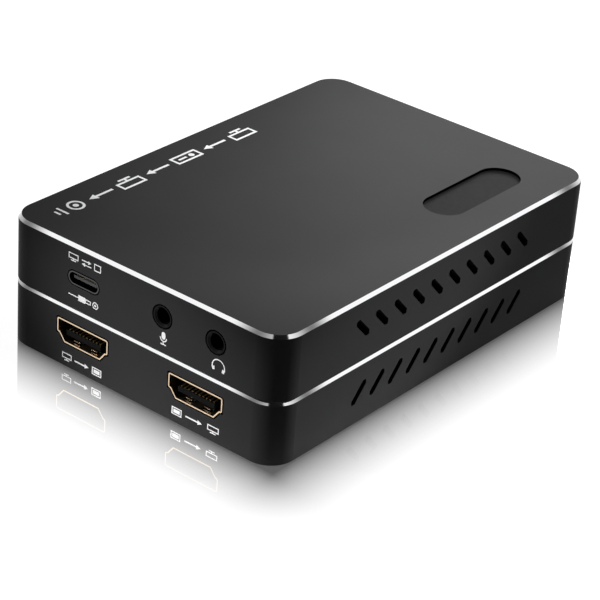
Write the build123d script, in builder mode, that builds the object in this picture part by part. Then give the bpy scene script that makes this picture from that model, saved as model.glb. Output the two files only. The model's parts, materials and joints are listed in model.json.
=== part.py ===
from build123d import *
import math
import os

os.makedirs("parts", exist_ok=True)

# Video capture box, in millimetres.
# +X runs to the right along the port face, which looks towards -Y, and +Z is up.
# The origin is the middle of the underside.

# Case
case_width = 78.0
case_length = 112.0
lower_height = 15.1
upper_height = 15.7
corner_radius = 6.4
wall = 2.0
floor_thickness = 2.0
top_thickness = 2.2
top_chamfer = 0.67
seam_chamfer = 0.64
upper_edge_bevel = 0.4
bottom_bevel = 0.25
overrun = 1.0
case_height = lower_height + upper_height
cavity_width = case_width - 2 * wall
cavity_length = case_length - 2 * wall
cavity_bevel = corner_radius - wall
ceiling = case_height - top_thickness

# Lip that keys the two shells together along the seam
lip_height = 1.2
lip_thickness = 0.7
lip_clearance = 0.1

# Slanted vents along both long sides
vent_count = 10
vent_corner_share = 0.36
upper_vent_pitch = 6.45
upper_vent_width = 1.65
upper_vent_length = 6.2
upper_vent_tilt = 44.0
upper_vent_rise = 8.55
lower_vent_pitch = 6.34
lower_vent_width = 1.6
lower_vent_length = 6.4
lower_vent_tilt = -42.0
lower_vent_rise = 7.7

# Case screws, countersunk in the underside and threaded into the upper shell
screw_inset = 7.0
screw_diameter = 2.5
screw_head_diameter = 4.7
screw_head_height = 1.3
screw_recess = 0.2
screw_engagement = 5.0
screw_clearance = 0.2
thread_clearance = 0.05
drive_width = 1.5
drive_depth = 0.8
pillar_width = 6.0
screw_spacing_x = case_width - 2 * screw_inset
screw_spacing_y = case_length - 2 * screw_inset

# Circuit boards, clamped with their spacers between the pillars of the two shells
board_thickness = 1.6
board_clearance = 0.6
board_rise = 2.4
upper_board_rise_share = 0.293
spacer_width = 5.0
board_width = cavity_width - 2 * board_clearance
board_length = cavity_length - 2 * board_clearance
lower_board_bottom = floor_thickness + board_rise
lower_board_top = lower_board_bottom + board_thickness
upper_board_bottom = lower_height + upper_board_rise_share * upper_height
upper_board_top = upper_board_bottom + board_thickness

# Places of the ports along the port face, as shares of the case's width
video_in_x_share = -0.1987
video_out_x_share = 0.2192
data_port_x_share = -0.1987
mic_jack_x_share = 0.0923
headphone_jack_x_share = 0.2814
video_in_x = video_in_x_share * case_width
video_out_x = video_out_x_share * case_width
data_port_x = data_port_x_share * case_width
mic_jack_x = mic_jack_x_share * case_width
headphone_jack_x = headphone_jack_x_share * case_width

# Video receptacle: a folded metal shell, wide side up, round a tongue with 19 contacts
video_width = 15.0
video_height = 5.55
video_foot_width = 10.65
video_side_height = 3.6
video_step = 0.65
video_corner = 0.55
video_gap = 0.35
video_sheet = 0.3
video_depth = 11.6
video_tongue_width = 10.4
video_tongue_thickness = 1.3
video_tongue_drop = 0.4
video_tongue_setback = 0.4
video_tip_bevel = 0.15
video_block_length = 3.6
video_contact_pitch = 1.0
video_contact_width = 0.4
video_contact_thickness = 0.15
video_contact_setback = 0.5
video_upper_contact_count = 10
video_lower_contact_count = 9
video_tail_gap = 0.4
video_z = lower_board_top + video_height / 2

# Spring fingers cut from the receptacle's wall and bent inwards
finger_width = 1.7
finger_length = 4.6
finger_slot = 0.35
finger_dip = 0.45
finger_setback = 0.8
upper_finger_spacing = 7.2
lower_finger_spacing = 5.2

# Legs that hold the receptacle shells in the boards
leg_width = 1.2
leg_reach = 0.6
leg_clearance = 0.15
video_leg_depth_shares = (0.27, 0.76)
data_leg_depth_shares = (0.36, 0.80)

# Reversible data port
data_width = 8.94
data_height = 3.2
data_gap = 0.3
data_sheet = 0.3
data_depth = 9.0
data_tongue_width = 6.69
data_tongue_thickness = 0.7
data_tongue_setback = 0.6
data_block_length = 3.4
data_contact_count = 12
data_contact_pitch = 0.5
data_contact_width = 0.25
data_contact_thickness = 0.1
data_contact_setback = 0.4
data_z = upper_board_top + data_height / 2

# Audio jacks for a 3.5 mm plug
jack_width = 6.0
jack_height = 5.0
jack_nose_diameter = 5.0
jack_gap = 0.35
jack_bore_diameter = 3.6
jack_bore_depth = 14.2
jack_back = 1.0
jack_seat_clearance = 0.3
jack_mouth_bevel = 0.4
spring_width = 1.0
spring_thickness = 0.25
spring_clearance = 0.1
spring_rise = 0.5
spring_foot = 0.8
left_spring_depth_shares = (0.36, 0.75)
right_spring_depth_shares = (0.55, 0.90)
jack_z = upper_board_top + jack_height / 2

# Status window in the top, with its light guide and lamps
window_x_share = 0.318
window_y_share = 0.251
window_width = 10.2
window_length = 30.8
window_recess = 0.7
window_thickness = 1.0
window_ledge = 1.2
window_clearance = 0.05
guide_clearance = 0.15
guide_taper = 6.0
lamp_width = 2.8
lamp_length = 3.5
lamp_height = 0.8
lamp_gap = 0.3
lamp_spacing_share = 0.5
window_x = window_x_share * case_width
window_y = window_y_share * case_length
window_bottom = case_height - window_recess - window_thickness
window_hole_width = window_width - 2 * window_ledge
window_hole_length = window_length - window_width

# Pin header and socket that join the two boards
pin_column_count = 8
pin_row_count = 2
pin_spacing = 2.54
pin_size = 0.64
pin_engagement_share = 0.7
pin_clearance = 0.15
header_height = 2.5
header_gap = 2.5
header_y_share = 0.8
header_y = header_y_share * board_length / 2
header_length = pin_column_count * pin_spacing
header_width = pin_row_count * pin_spacing
socket_bottom = lower_board_top + header_height + header_gap
socket_height = upper_board_bottom - socket_bottom
pin_engagement = pin_engagement_share * socket_height

# Chips: side, side and height of each
chip_edge = 0.15
chip_key = 0.6
receiver_size = 14.0
receiver_height = 1.2
receiver_y_share = -0.45
splitter_size = 10.0
splitter_height = 1.0
splitter_y_share = -0.47
capture_size = 17.0
capture_height = 1.5
capture_x_share = -0.22
capture_y_share = -0.11
memory_length = 13.5
memory_width = 9.0
memory_height = 1.1
memory_x_share = 0.34
memory_y_shares = (-0.22, 0.02)
controller_size = 7.0
controller_height = 0.9
controller_y_share = -0.62
audio_size = 6.0
audio_height = 0.9
audio_x_share = 0.4
audio_y_share = -0.58
flash_length = 6.0
flash_width = 5.0
flash_height = 0.8
flash_place_shares = (-0.78, -0.11)
regulator_length = 6.5
regulator_width = 3.5
regulator_height = 1.6
regulator_x_shares = (-0.6, -0.2)
regulator_y_share = 0.46

# Heat path: pads and the finned sink of the receiver chip
pad_thickness = 1.0
pad_margin = 1.0
sink_size = 20.0
sink_base = 1.5
sink_height = 8.0
fin_count = 6
fin_thickness = 1.0

# Crystals, coils and capacitors
crystal_length = 5.0
crystal_width = 3.2
crystal_height = 1.0
crystal_corner = 0.3
lower_crystal_place_shares = (0.03, -0.47)
upper_crystal_place_shares = (-0.78, -0.36)
coil_size = 6.0
coil_height = 3.4
coil_corner = 1.0
lower_coil_x_shares = (-0.72, -0.45, -0.18)
lower_coil_y_share = 0.2
upper_coil_x_shares = (-0.72, -0.45)
upper_coil_y_share = 0.36
can_diameter = 6.3
can_height = 5.8
can_base = 0.9
can_x_shares = (0.2, 0.48, 0.76)
can_y_share = 0.2
ceramic_length = 3.2
ceramic_width = 1.6
ceramic_height = 1.4
ceramic_count = 5
ceramic_pitch = 3.0
ceramic_place_shares = (0.02, 0.42)

front_plane = Plane.XZ.offset(case_length / 2)


def depth_y(depth):
    return depth - case_length / 2


def on_board(place_shares):
    return (place_shares[0] * board_width / 2, place_shares[1] * board_length / 2)


def bevelled_rectangle(width, length, bevel, rotation=0, mode=Mode.ADD):
    """Rectangle with its four corners bevelled, drawn into the open sketch."""
    half_width = width / 2
    half_length = length / 2
    Polygon(
        (-half_width, -half_length + bevel),
        (-half_width + bevel, -half_length),
        (half_width - bevel, -half_length),
        (half_width, -half_length + bevel),
        (half_width, half_length - bevel),
        (half_width - bevel, half_length),
        (-half_width + bevel, half_length),
        (-half_width, half_length - bevel),
        rotation=rotation,
        mode=mode,
    )


# Outlines of the video receptacle about its own middle
slope_run = (video_width - video_foot_width) / 2 - video_step
slope_rise = video_height - video_side_height
slope_length = math.hypot(slope_run, slope_rise)


def slope_x(level, growth):
    """Half width across the slanted sides at a level, with the outline moved outwards."""
    shift = (level + video_height / 2) * slope_run + growth * slope_length
    return video_foot_width / 2 + shift / slope_rise


def rounded_outline(growth):
    """The receptacle's outline moved outwards by the growth, its four square corners rounded."""
    half_width = video_width / 2 + growth
    top = video_height / 2 + growth
    bottom = -video_height / 2 - growth
    shoulder = video_height / 2 - video_side_height - growth
    with BuildSketch() as outline:
        with BuildLine():
            Polyline(
                (-half_width, top),
                (half_width, top),
                (half_width, shoulder),
                (slope_x(shoulder, growth), shoulder),
                (slope_x(bottom, growth), bottom),
                (-slope_x(bottom, growth), bottom),
                (-slope_x(shoulder, growth), shoulder),
                (-half_width, shoulder),
                close=True,
            )
        make_face()
        side_corners = outline.vertices().group_by(Axis.X)
        fillet(side_corners[0] + side_corners[-1], radius=video_corner + min(growth, 0))
    return outline.sketch


video_outline = rounded_outline(0)
video_hole = rounded_outline(video_gap)
video_cavity = rounded_outline(-video_sheet)

# Lower shell
screw_hole_radius = screw_diameter / 2 + screw_clearance
head_radius = screw_head_diameter / 2
shank_radius = screw_diameter / 2
cone_slope = (head_radius - shank_radius) / screw_head_height
cone_mouth_radius = head_radius + cone_slope * screw_recess
cone_top = (cone_mouth_radius - screw_hole_radius) / cone_slope

with BuildPart() as screw_hole:
    with BuildSketch(Plane.XZ):
        with BuildLine():
            Polyline(
                (0, 0),
                (cone_mouth_radius, 0),
                (screw_hole_radius, cone_top),
                (screw_hole_radius, lower_board_bottom),
                (0, lower_board_bottom),
                close=True,
            )
        make_face()
    revolve(axis=Axis.Z)


def side_vents(centre_z, pitch, width, length, tilt):
    """A row of slanted vents through both long walls of the open part."""
    for side in (-1, 1):
        with BuildSketch(Plane.YZ.offset(side * case_width / 2)) as slots:
            with Locations((0, centre_z)):
                with GridLocations(pitch, 0, vent_count, 1):
                    bevelled_rectangle(width, length, width * vent_corner_share, rotation=tilt)
        extrude(slots.sketch, amount=-side * (wall + overrun), mode=Mode.SUBTRACT)


def corner_pillars(bottom, top):
    """Four six-sided pillars round the case screws, added to the open part."""
    with BuildSketch(Plane.XY.offset(bottom)) as pillars:
        with GridLocations(screw_spacing_x, screw_spacing_y, 2, 2):
            RegularPolygon(pillar_width / 2, 6, major_radius=False)
    extrude(pillars.sketch, amount=top - bottom)


with BuildPart() as lower_shell:
    with BuildSketch():
        RectangleRounded(case_width, case_length, corner_radius)
    extrude(amount=lower_height)
    chamfer(lower_shell.faces().sort_by(Axis.Z)[-1].edges(), length=seam_chamfer)
    chamfer(lower_shell.faces().sort_by(Axis.Z)[0].edges(), length=bottom_bevel)
    with BuildSketch(Plane.XY.offset(floor_thickness)):
        bevelled_rectangle(cavity_width, cavity_length, cavity_bevel)
    extrude(amount=lower_height, mode=Mode.SUBTRACT)
    with BuildSketch(Plane.XY.offset(lower_height)):
        bevelled_rectangle(cavity_width + 2 * lip_thickness, cavity_length + 2 * lip_thickness, cavity_bevel)
        bevelled_rectangle(cavity_width, cavity_length, cavity_bevel, mode=Mode.SUBTRACT)
    extrude(amount=lip_height)
    corner_pillars(floor_thickness, lower_board_bottom)
    with GridLocations(screw_spacing_x, screw_spacing_y, 2, 2):
        add(screw_hole.part, mode=Mode.SUBTRACT)
    with BuildSketch(front_plane):
        with Locations((video_in_x, video_z), (video_out_x, video_z)):
            add(video_hole)
    extrude(amount=-wall - overrun, mode=Mode.SUBTRACT)
    side_vents(lower_vent_rise, lower_vent_pitch, lower_vent_width, lower_vent_length, lower_vent_tilt)

lower_shell.part.label = "lower_shell"
export_step(lower_shell.part, "parts/lower_shell.step")

# Upper shell
capture_place = on_board((capture_x_share, capture_y_share))
pad_bottom = upper_board_top + capture_height
pedestal_bottom = pad_bottom + pad_thickness
rabbet_thickness = lip_thickness + lip_clearance
rabbet_height = lip_height + lip_clearance

with BuildPart() as upper_shell:
    with BuildSketch(Plane.XY.offset(lower_height)):
        RectangleRounded(case_width, case_length, corner_radius)
    extrude(amount=upper_height)
    chamfer(upper_shell.faces().sort_by(Axis.Z)[-1].edges(), length=top_chamfer)
    chamfer(upper_shell.faces().sort_by(Axis.Z)[0].edges(), length=upper_edge_bevel)
    with BuildSketch(Plane.XY.offset(lower_height)):
        bevelled_rectangle(cavity_width, cavity_length, cavity_bevel)
    extrude(amount=upper_height - top_thickness, mode=Mode.SUBTRACT)
    with BuildSketch(Plane.XY.offset(lower_height)):
        rabbet_width = cavity_width + 2 * rabbet_thickness
        bevelled_rectangle(rabbet_width, cavity_length + 2 * rabbet_thickness, cavity_bevel)
    extrude(amount=rabbet_height, mode=Mode.SUBTRACT)
    corner_pillars(upper_board_top, ceiling)
    with BuildSketch(Plane.XY.offset(upper_board_top)):
        with GridLocations(screw_spacing_x, screw_spacing_y, 2, 2):
            Circle(shank_radius + thread_clearance)
    extrude(amount=screw_engagement + thread_clearance, mode=Mode.SUBTRACT)
    with BuildSketch(Plane.XY.offset(pedestal_bottom)):
        with Locations(capture_place):
            Rectangle(capture_size, capture_size)
    extrude(amount=ceiling - pedestal_bottom)
    with BuildSketch(Plane.XY.offset(window_bottom)):
        with Locations((window_x, window_y)):
            SlotOverall(window_length, window_width, rotation=90)
    extrude(amount=case_height - window_bottom, mode=Mode.SUBTRACT)
    with BuildSketch(Plane.XY.offset(ceiling)):
        with Locations((window_x, window_y)):
            Rectangle(window_hole_width, window_hole_length)
    extrude(amount=top_thickness, mode=Mode.SUBTRACT)
    with BuildSketch(front_plane):
        with Locations((data_port_x, data_z)):
            SlotOverall(data_width + 2 * data_gap, data_height + 2 * data_gap)
        with Locations((mic_jack_x, jack_z), (headphone_jack_x, jack_z)):
            Circle(jack_nose_diameter / 2 + jack_gap)
    extrude(amount=-wall - overrun, mode=Mode.SUBTRACT)
    upper_vent_z = lower_height + upper_vent_rise
    side_vents(upper_vent_z, upper_vent_pitch, upper_vent_width, upper_vent_length, upper_vent_tilt)

upper_shell.part.label = "upper_shell"
export_step(upper_shell.part, "parts/upper_shell.step")

# Case screws
screw_end = upper_board_top + screw_engagement

with BuildPart() as screw_form:
    with BuildSketch(Plane.XZ):
        with BuildLine():
            Polyline(
                (0, screw_recess),
                (head_radius, screw_recess),
                (shank_radius, screw_recess + screw_head_height),
                (shank_radius, screw_end),
                (0, screw_end),
                close=True,
            )
        make_face()
    revolve(axis=Axis.Z)
    with BuildSketch(Plane.XY.offset(screw_recess)):
        RegularPolygon(drive_width / 2, 6, major_radius=False)
    extrude(amount=drive_depth, mode=Mode.SUBTRACT)

with BuildPart() as case_screws:
    with GridLocations(screw_spacing_x, screw_spacing_y, 2, 2):
        add(screw_form.part)

case_screws.part.label = "case_screws"
export_step(case_screws.part, "parts/case_screws.step")

# Circuit boards, drilled for the case screws and slotted for the receptacles' legs
def board_blank():
    """Board outline with bevelled corners and the screws' holes, drawn into the open sketch."""
    bevelled_rectangle(board_width, board_length, cavity_bevel)
    with GridLocations(screw_spacing_x, screw_spacing_y, 2, 2):
        Circle(screw_hole_radius, mode=Mode.SUBTRACT)


def leg_places(port_x, port_width, sheet, depths):
    """Middles of a receptacle's four legs."""
    offset_x = port_width / 2 - sheet / 2
    return [(port_x + side * offset_x, depth_y(depth)) for side in (-1, 1) for depth in depths]


video_leg_depths = [share * video_depth for share in video_leg_depth_shares]
data_leg_depths = [share * data_depth for share in data_leg_depth_shares]
leg_slot_width = leg_width + 2 * leg_clearance

with BuildPart() as lower_board:
    with BuildSketch(Plane.XY.offset(lower_board_bottom)):
        board_blank()
        for port_x in (video_in_x, video_out_x):
            with Locations(*leg_places(port_x, video_width, video_sheet, video_leg_depths)):
                Rectangle(video_sheet + 2 * leg_clearance, leg_slot_width, mode=Mode.SUBTRACT)
    extrude(amount=board_thickness)

lower_board.part.label = "lower_board"
export_step(lower_board.part, "parts/lower_board.step")

with BuildPart() as upper_board:
    with BuildSketch(Plane.XY.offset(upper_board_bottom)):
        board_blank()
        with Locations(*leg_places(data_port_x, data_width, data_sheet, data_leg_depths)):
            Rectangle(data_sheet + 2 * leg_clearance, leg_slot_width, mode=Mode.SUBTRACT)
    extrude(amount=board_thickness)

upper_board.part.label = "upper_board"
export_step(upper_board.part, "parts/upper_board.step")

# Six-sided tubes round the case screws, between the boards
with BuildPart() as board_spacers:
    with BuildSketch(Plane.XY.offset(lower_board_top)):
        with GridLocations(screw_spacing_x, screw_spacing_y, 2, 2):
            RegularPolygon(spacer_width / 2, 6, major_radius=False)
            RegularPolygon(screw_hole_radius, 6, major_radius=False, mode=Mode.SUBTRACT)
    extrude(amount=upper_board_bottom - lower_board_top)

board_spacers.part.label = "board_spacers"
export_step(board_spacers.part, "parts/board_spacers.step")


def flat_strip(middle_x, width, bottom_z, thickness, front, back):
    """A flat bar between two depths, added to the open part."""
    with BuildSketch(Plane.XY.offset(bottom_z)) as strip:
        with Locations((middle_x, depth_y((front + back) / 2))):
            Rectangle(width, back - front)
    extrude(strip.sketch, amount=thickness)


def spring_finger(middle_x, wall_z, inwards):
    """A finger bent into the receptacle from its wall, free end towards the mouth."""
    free_y = depth_y(finger_setback + finger_slot)
    root_y = depth_y(finger_setback + finger_slot + finger_length)
    skin_z = wall_z + inwards * video_sheet
    with BuildSketch(Plane.YZ.offset(middle_x - finger_width / 2)) as profile:
        with BuildLine():
            Polyline(
                (root_y + video_sheet, wall_z),
                (root_y + video_sheet, skin_z),
                (root_y, skin_z),
                (free_y, skin_z + inwards * finger_dip),
                (free_y, wall_z + inwards * finger_dip),
                (root_y, wall_z),
                close=True,
            )
        make_face()
    extrude(profile.sketch, amount=finger_width)


def make_video_port(name, port_x):
    """Shell, contacts and insulator of one video receptacle, seated on the lower board."""
    middle = (port_x, video_z)
    body_top = video_z + video_height / 2
    finger_places = [(side * upper_finger_spacing / 2, body_top, -1) for side in (-1, 1)]
    finger_places += [(side * lower_finger_spacing / 2, lower_board_top, 1) for side in (-1, 1)]
    window_span = finger_length + finger_slot
    window_middle_y = depth_y(finger_setback + window_span / 2)

    with BuildPart() as shell:
        with BuildSketch(front_plane):
            with Locations(middle):
                add(video_outline)
                add(video_cavity, mode=Mode.SUBTRACT)
        extrude(amount=-video_depth)
        for finger_x, wall_z, inwards in finger_places:
            with BuildSketch(Plane.XY.offset(wall_z)):
                with Locations((port_x + finger_x, window_middle_y)):
                    Rectangle(finger_width + 2 * finger_slot, window_span)
            extrude(amount=inwards * video_sheet, mode=Mode.SUBTRACT)
            spring_finger(port_x + finger_x, wall_z, inwards)
        with BuildSketch(Plane.XY.offset(video_z)):
            with Locations(*leg_places(port_x, video_width, video_sheet, video_leg_depths)):
                Rectangle(video_sheet, leg_width)
        extrude(amount=lower_board_bottom - leg_reach - video_z)

    shell.part.label = f"{name}_shell"
    export_step(shell.part, f"parts/{name}_shell.step")

    tongue_z = video_z - video_tongue_drop
    tongue_top = tongue_z + video_tongue_thickness / 2
    tongue_bottom = tongue_z - video_tongue_thickness / 2
    contact_front = video_tongue_setback + video_contact_setback
    block_front = video_depth - video_block_length
    block_back = video_depth + video_tail_gap
    tail_back = block_back + video_contact_thickness
    contact_rows = (
        (video_upper_contact_count, tongue_top),
        (video_lower_contact_count, tongue_bottom - video_contact_thickness),
    )

    with BuildPart() as contacts:
        for count, strip_z in contact_rows:
            for index in range(count):
                contact_x = port_x + (index - (count - 1) / 2) * video_contact_pitch
                tail_height = strip_z - lower_board_top
                strip_depths = (contact_front, block_front)
                flat_strip(contact_x, video_contact_width, strip_z, video_contact_thickness, *strip_depths)
                flat_strip(contact_x, video_contact_width, lower_board_top, tail_height, block_back, tail_back)

    contacts.part.label = f"{name}_contacts"
    export_step(contacts.part, f"parts/{name}_contacts.step")

    with BuildPart() as insulator:
        with BuildSketch(front_plane.offset(-video_tongue_setback)):
            with Locations((port_x, tongue_z)):
                Rectangle(video_tongue_width, video_tongue_thickness)
        extrude(amount=video_tongue_setback - block_front)
        chamfer(insulator.faces().sort_by(Axis.Y)[0].edges(), length=video_tip_bevel)
        with BuildSketch(front_plane.offset(-block_front)):
            with Locations(middle):
                add(video_cavity)
        extrude(amount=block_front - block_back)

    insulator.part.label = f"{name}_insulator"
    export_step(insulator.part, f"parts/{name}_insulator.step")


make_video_port("video_in", video_in_x)
make_video_port("video_out", video_out_x)

# Reversible data port on the upper board
data_middle = (data_port_x, data_z)

with BuildPart() as data_port_shell:
    with BuildSketch(front_plane):
        with Locations(data_middle):
            SlotOverall(data_width, data_height)
            inner_width = data_width - 2 * data_sheet
            SlotOverall(inner_width, data_height - 2 * data_sheet, mode=Mode.SUBTRACT)
    extrude(amount=-data_depth)
    with BuildSketch(Plane.XY.offset(data_z)):
        with Locations(*leg_places(data_port_x, data_width, data_sheet, data_leg_depths)):
            Rectangle(data_sheet, leg_width)
    extrude(amount=upper_board_bottom - leg_reach - data_z)

data_port_shell.part.label = "data_port_shell"
export_step(data_port_shell.part, "parts/data_port_shell.step")

data_strip_front = data_tongue_setback + data_contact_setback
data_block_front = data_depth - data_block_length
data_strip_levels = (
    data_z + data_tongue_thickness / 2,
    data_z - data_tongue_thickness / 2 - data_contact_thickness,
)

with BuildPart() as data_port_contacts:
    for strip_z in data_strip_levels:
        for index in range(data_contact_count):
            contact_x = data_port_x + (index - (data_contact_count - 1) / 2) * data_contact_pitch
            strip_depths = (data_strip_front, data_block_front)
            flat_strip(contact_x, data_contact_width, strip_z, data_contact_thickness, *strip_depths)

data_port_contacts.part.label = "data_port_contacts"
export_step(data_port_contacts.part, "parts/data_port_contacts.step")

with BuildPart() as data_port_insulator:
    with BuildSketch(front_plane.offset(-data_tongue_setback)):
        with Locations(data_middle):
            Rectangle(data_tongue_width, data_tongue_thickness)
    extrude(amount=data_tongue_setback - data_block_front)
    with BuildSketch(front_plane.offset(-data_block_front)):
        with Locations(data_middle):
            SlotOverall(data_width - 2 * data_sheet, data_height - 2 * data_sheet)
    extrude(amount=-data_block_length)

data_port_insulator.part.label = "data_port_insulator"
export_step(data_port_insulator.part, "parts/data_port_insulator.step")

# Audio jacks on the upper board
jack_front = wall + jack_seat_clearance
jack_rear = jack_bore_depth + jack_back
bore_radius = jack_bore_diameter / 2
spring_inner = bore_radius + spring_clearance
spring_slot_width = spring_width + 2 * spring_clearance
spring_top = jack_z + spring_rise - spring_clearance


def make_jack(name, jack_x):
    """Body and contact springs of one audio jack."""
    spring_sides = [(-1, share * jack_bore_depth) for share in left_spring_depth_shares]
    spring_sides += [(1, share * jack_bore_depth) for share in right_spring_depth_shares]

    with BuildPart() as body:
        with BuildSketch(front_plane.offset(-jack_front)):
            with Locations((jack_x, jack_z)):
                Rectangle(jack_width, jack_height)
        extrude(amount=jack_front - jack_rear)
        with BuildSketch(front_plane.offset(-jack_front)):
            with Locations((jack_x, jack_z)):
                Circle(jack_nose_diameter / 2)
        extrude(amount=jack_front)
        for side, depth in spring_sides:
            with BuildSketch(Plane.XY.offset(jack_z + spring_rise)):
                with Locations((jack_x + side * jack_width / 4, depth_y(depth))):
                    Rectangle(jack_width / 2, spring_slot_width)
            extrude(amount=upper_board_top - jack_z - spring_rise, mode=Mode.SUBTRACT)
        with BuildSketch(front_plane):
            with Locations((jack_x, jack_z)):
                Circle(bore_radius)
        extrude(amount=-jack_bore_depth, mode=Mode.SUBTRACT)
        mouth = body.faces().sort_by(Axis.Y)[0]
        chamfer(mouth.inner_wires()[0].edges(), length=jack_mouth_bevel)

    body.part.label = f"{name}_body"
    export_step(body.part, f"parts/{name}_body.step")

    with BuildPart() as springs:
        for side, depth in spring_sides:
            near_x = jack_x + side * spring_inner
            back_x = near_x + side * spring_thickness
            foot_x = jack_x + side * (jack_width / 2 + spring_foot)
            foot_z = upper_board_top + spring_thickness
            with BuildSketch(front_plane.offset(-depth - spring_width / 2)):
                with BuildLine():
                    Polyline(
                        (near_x, spring_top),
                        (near_x, upper_board_top),
                        (foot_x, upper_board_top),
                        (foot_x, foot_z),
                        (back_x, foot_z),
                        (back_x, spring_top),
                        close=True,
                    )
                make_face()
            extrude(amount=spring_width)

    springs.part.label = f"{name}_springs"
    export_step(springs.part, f"parts/{name}_springs.step")


make_jack("mic_jack", mic_jack_x)
make_jack("headphone_jack", headphone_jack_x)

# Status window, let into the top and seated on its ledge
with BuildPart() as status_window:
    with BuildSketch(Plane.XY.offset(window_bottom)):
        with Locations((window_x, window_y)):
            SlotOverall(
                window_length - 2 * window_clearance,
                window_width - 2 * window_clearance,
                rotation=90,
            )
    extrude(amount=window_thickness)

status_window.part.label = "status_window"
export_step(status_window.part, "parts/status_window.step")

# Light guide under the window, and the lamps that shine into it
guide_width = window_hole_width - 2 * guide_clearance
guide_length = window_hole_length - 2 * guide_clearance
lamp_top = upper_board_top + lamp_height
guide_bottom = lamp_top + lamp_gap

with BuildPart() as light_guide:
    with BuildSketch(Plane.XY.offset(window_bottom)):
        with Locations((window_x, window_y)):
            Rectangle(guide_width, guide_length)
    extrude(amount=guide_bottom - window_bottom, taper=guide_taper)

light_guide.part.label = "light_guide"
export_step(light_guide.part, "parts/light_guide.step")

with BuildPart() as status_lamps:
    with BuildSketch(Plane.XY.offset(upper_board_top)):
        with Locations((window_x, window_y)):
            with GridLocations(0, guide_length * lamp_spacing_share, 1, 2):
                Rectangle(lamp_width, lamp_length)
    extrude(amount=lamp_height)

status_lamps.part.label = "status_lamps"
export_step(status_lamps.part, "parts/status_lamps.step")

# Pin header on the lower board and socket under the upper board
pin_top = socket_bottom + pin_engagement

with BuildPart() as stack_pins:
    with BuildSketch(Plane.XY.offset(lower_board_top)):
        with Locations((0, header_y)):
            with GridLocations(pin_spacing, pin_spacing, pin_column_count, pin_row_count):
                Rectangle(pin_size, pin_size)
    extrude(amount=pin_top - lower_board_top)

stack_pins.part.label = "stack_pins"
export_step(stack_pins.part, "parts/stack_pins.step")

with BuildPart() as stack_header:
    with BuildSketch(Plane.XY.offset(lower_board_top)):
        with Locations((0, header_y)):
            Rectangle(header_length, header_width)
            with GridLocations(pin_spacing, pin_spacing, pin_column_count, pin_row_count):
                Rectangle(pin_size, pin_size, mode=Mode.SUBTRACT)
    extrude(amount=header_height)

stack_header.part.label = "stack_header"
export_step(stack_header.part, "parts/stack_header.step")

with BuildPart() as stack_socket:
    with BuildSketch(Plane.XY.offset(socket_bottom)):
        with Locations((0, header_y)):
            Rectangle(header_length, header_width)
    extrude(amount=socket_height)
    with BuildSketch(Plane.XY.offset(socket_bottom)):
        with Locations((0, header_y)):
            with GridLocations(pin_spacing, pin_spacing, pin_column_count, pin_row_count):
                Rectangle(pin_size + 2 * pin_clearance, pin_size + 2 * pin_clearance)
    extrude(amount=pin_engagement + pin_clearance, mode=Mode.SUBTRACT)

stack_socket.part.label = "stack_socket"
export_step(stack_socket.part, "parts/stack_socket.step")


def make_chips(name, places, size, seat):
    """Flat packages with a bevelled top edge and one corner cut off at the first pin."""
    length, width, height = size
    with BuildPart() as package:
        with BuildSketch(Plane.XY.offset(seat)) as package_face:
            Rectangle(length, width)
            first_corner = package_face.vertices().group_by(Axis.X)[0].sort_by(Axis.Y)[-1]
            chamfer(first_corner, length=chip_key)
        extrude(amount=height)
        chamfer(package.faces().sort_by(Axis.Z)[-1].edges(), length=chip_edge)
    with BuildPart() as chips:
        with Locations(*places):
            add(package.part)
    chips.part.label = name
    export_step(chips.part, f"parts/{name}.step")


receiver_place = (video_in_x, receiver_y_share * board_length / 2)
splitter_place = (video_out_x, splitter_y_share * board_length / 2)
controller_place = (data_port_x, controller_y_share * board_length / 2)
audio_place = on_board((audio_x_share, audio_y_share))
memory_places = [on_board((memory_x_share, share)) for share in memory_y_shares]
flash_place = on_board(flash_place_shares)
regulator_places = [on_board((share, regulator_y_share)) for share in regulator_x_shares]

receiver_form = (receiver_size, receiver_size, receiver_height)
splitter_form = (splitter_size, splitter_size, splitter_height)
regulator_form = (regulator_length, regulator_width, regulator_height)
capture_form = (capture_size, capture_size, capture_height)
memory_form = (memory_length, memory_width, memory_height)
controller_form = (controller_size, controller_size, controller_height)
audio_form = (audio_size, audio_size, audio_height)
flash_form = (flash_length, flash_width, flash_height)

make_chips("receiver_chip", [receiver_place], receiver_form, lower_board_top)
make_chips("splitter_chip", [splitter_place], splitter_form, lower_board_top)
make_chips("voltage_regulators", regulator_places, regulator_form, lower_board_top)
make_chips("capture_chip", [capture_place], capture_form, upper_board_top)
make_chips("memory_chips", memory_places, memory_form, upper_board_top)
make_chips("port_controller_chip", [controller_place], controller_form, upper_board_top)
make_chips("audio_chip", [audio_place], audio_form, upper_board_top)
make_chips("flash_chip", [flash_place], flash_form, upper_board_top)

# Thermal pad between the capture chip and the upper shell's pedestal
with BuildPart() as thermal_pad:
    with BuildSketch(Plane.XY.offset(pad_bottom)):
        with Locations(capture_place):
            Rectangle(capture_size - 2 * pad_margin, capture_size - 2 * pad_margin)
    extrude(amount=pad_thickness)

thermal_pad.part.label = "thermal_pad"
export_step(thermal_pad.part, "parts/thermal_pad.step")

# Finned heat sink, bonded to the receiver chip
sink_bottom = lower_board_top + receiver_height
fin_pitch = (sink_size - fin_thickness) / (fin_count - 1)

with BuildPart() as receiver_heat_sink:
    with BuildSketch(Plane.XY.offset(sink_bottom)):
        with Locations(receiver_place):
            Rectangle(sink_size, sink_size)
    extrude(amount=sink_base)
    with BuildSketch(Plane.XY.offset(sink_bottom + sink_base)):
        with Locations(receiver_place):
            with GridLocations(fin_pitch, 0, fin_count, 1):
                Rectangle(fin_thickness, sink_size)
    extrude(amount=sink_height - sink_base)

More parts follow.
